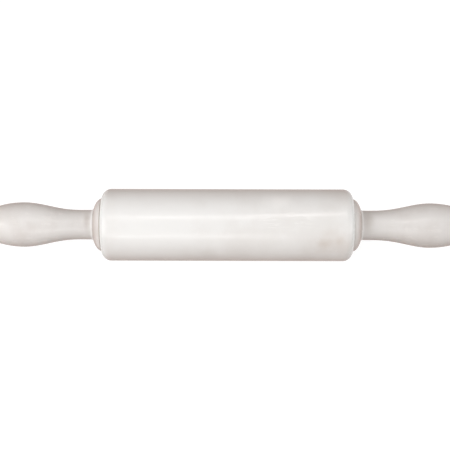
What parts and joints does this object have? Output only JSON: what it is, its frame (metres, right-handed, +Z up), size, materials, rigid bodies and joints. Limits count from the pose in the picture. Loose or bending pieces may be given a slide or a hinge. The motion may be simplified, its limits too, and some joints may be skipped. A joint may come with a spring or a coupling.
{
  "type": "rolling pin",
  "caption": "White plastic rolling pin: a hollow roller with rounded shoulders that turns on a steel rod between moulded handles with domed collars.",
  "frame": {"origin": "middle of the roller, on its axis", "axes": "+X along the pin to the right-hand handle, +Z up, +Y away from the person who faces it"},
  "size_m": [0.4988, 0.072, 0.072],
  "materials": {
    "roller_plastic": "glossy warm white, faintly worn",
    "cap_plastic": "glossy warm white",
    "handle_plastic": "glossy warm white with faint moulding waves",
    "plug_plastic": "glossy warm white",
    "bush_acetal": "smooth, natural acetal",
    "washer_nylon": "smooth, natural nylon",
    "rod_steel": "bright drawn steel",
    "plated_steel": "bright zinc plate"
  },
  "bodies": {
    "roller": {"barrel_tube": "roller_plastic", "left_end_cap": "cap_plastic", "left_bush": "bush_acetal", "right_end_cap": "cap_plastic", "right_bush": "bush_acetal"},
    "spindle": {"axle_rod": "rod_steel", "left_thrust_washer": "washer_nylon", "left_handle": "handle_plastic", "left_end_plug": "plug_plastic", "left_flat_washer": "plated_steel", "left_lock_nut": "plated_steel", "right_thrust_washer": "washer_nylon", "right_handle": "handle_plastic", "right_end_plug": "plug_plastic", "right_flat_washer": "plated_steel", "right_lock_nut": "plated_steel"}
  },
  "joints": [
    {"name": "roller_spin", "type": "hinge", "parent": "roller", "child": "spindle", "pos_m": [0, 0, 0], "axis": [1, 0, 0], "continuous": true}
  ]
}
